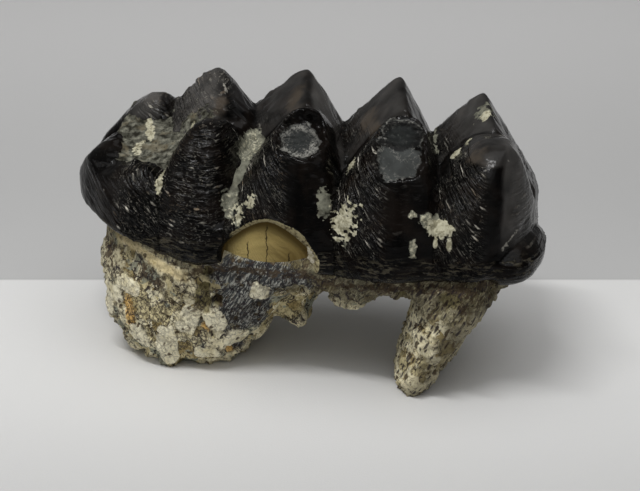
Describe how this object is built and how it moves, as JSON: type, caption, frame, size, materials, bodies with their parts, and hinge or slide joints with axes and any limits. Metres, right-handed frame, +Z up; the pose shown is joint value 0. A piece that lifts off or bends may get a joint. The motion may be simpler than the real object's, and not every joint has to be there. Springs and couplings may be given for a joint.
{
  "type": "fossil mastodon tooth",
  "caption": "Fossil mastodon molar with paired blunt cusps and dark enamel, standing on the broken stubs of its pale roots.",
  "frame": {"origin": "middle of the bounding box's footprint, on the surface the roots stand on", "axes": "+X along the tooth towards the end with the enamel lobe under the last pair of cusps, -Y the side whose enamel has a broken window, +Z up towards the cusps"},
  "size_m": [0.1864, 0.09, 0.1128],
  "materials": {
    "fossil": "dark glossy enamel over matt cream dentine"
  },
  "bodies": {
    "root": {"tooth": "fossil"}
  },
  "joints": []
}
